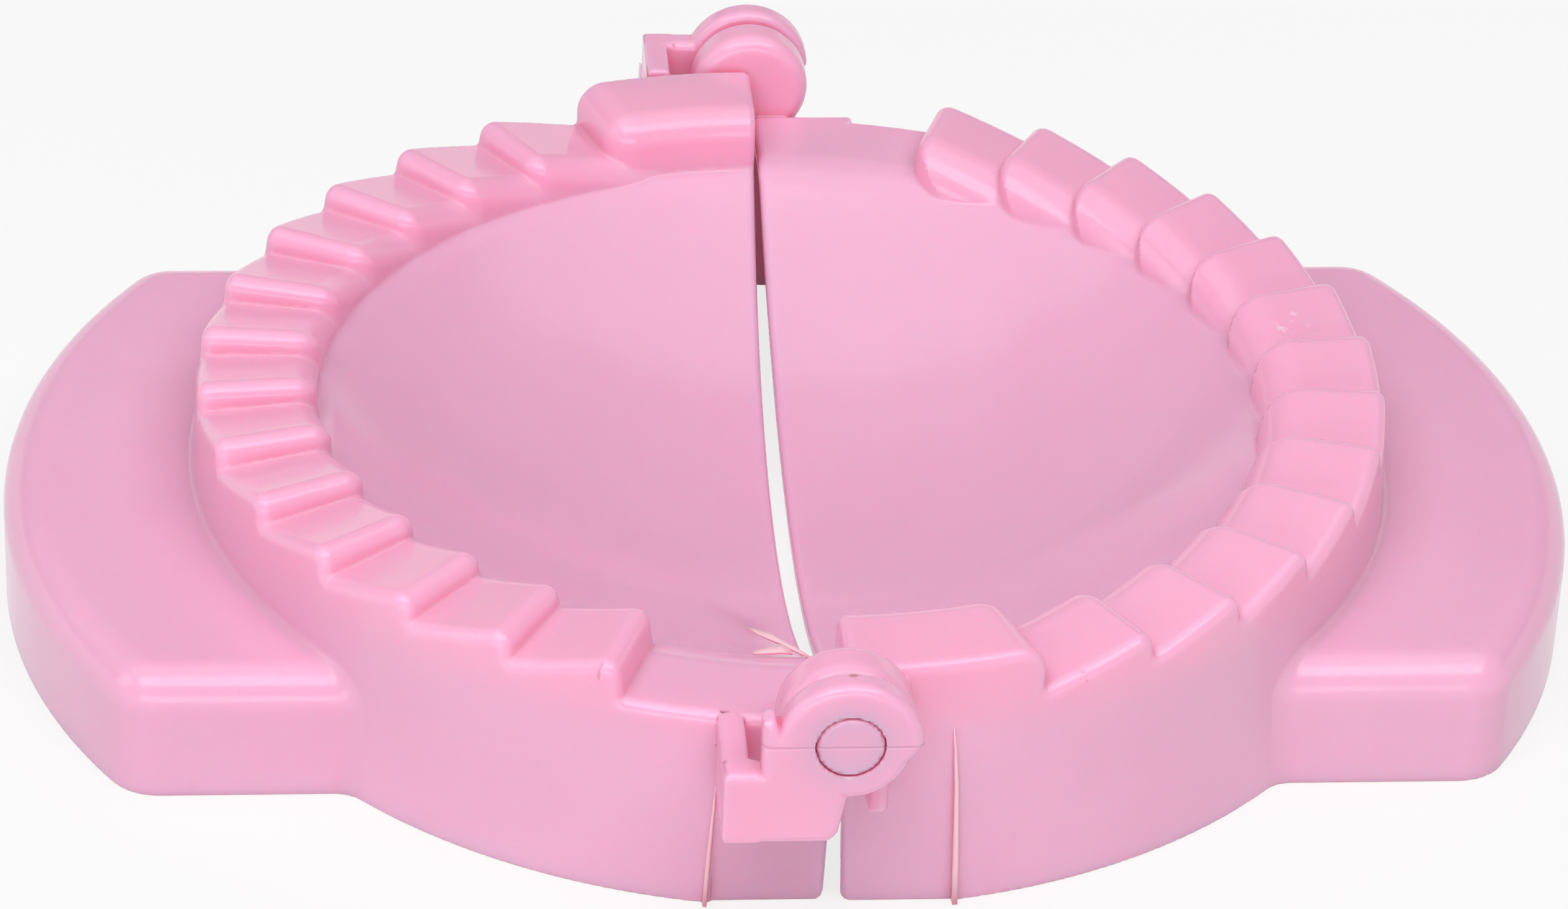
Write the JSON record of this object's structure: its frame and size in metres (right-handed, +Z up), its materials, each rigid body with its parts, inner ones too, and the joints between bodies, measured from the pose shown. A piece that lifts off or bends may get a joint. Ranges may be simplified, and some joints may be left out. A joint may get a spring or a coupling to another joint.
{
  "type": "empanada press",
  "caption": "Pink plastic dough press lying open: two hinged half-round dishes with a toothed crimping rim, side grips and snap-in hinge pins; it folds shut to seal a filled round of dough.",
  "frame": {"origin": "on the table, under the middle of the open dish", "axes": "X across the two grips, Y along the hinge line with the pictured side at -Y, Z up"},
  "size_m": [0.15, 0.1306, 0.0287],
  "materials": {
    "pink_plastic": "glossy light pink moulding"
  },
  "bodies": {
    "left_half": {"left_bowl": "pink_plastic", "left_crimp_rim": "pink_plastic", "left_outer_wall": "pink_plastic", "left_grip": "pink_plastic", "left_front_eye_bracket": "pink_plastic", "left_back_eye_bracket": "pink_plastic"},
    "right_half": {"right_bowl": "pink_plastic", "right_crimp_rim": "pink_plastic", "right_outer_wall": "pink_plastic", "right_grip": "pink_plastic", "right_front_knuckle": "pink_plastic", "right_back_knuckle": "pink_plastic", "front_pin": "pink_plastic", "back_pin": "pink_plastic"}
  },
  "joints": [
    {"name": "fold", "type": "hinge", "parent": "left_half", "child": "right_half", "pos_m": [0, 0, 0.0223], "axis": [0, -1, 0], "range_deg": [0, 180]}
  ]
}
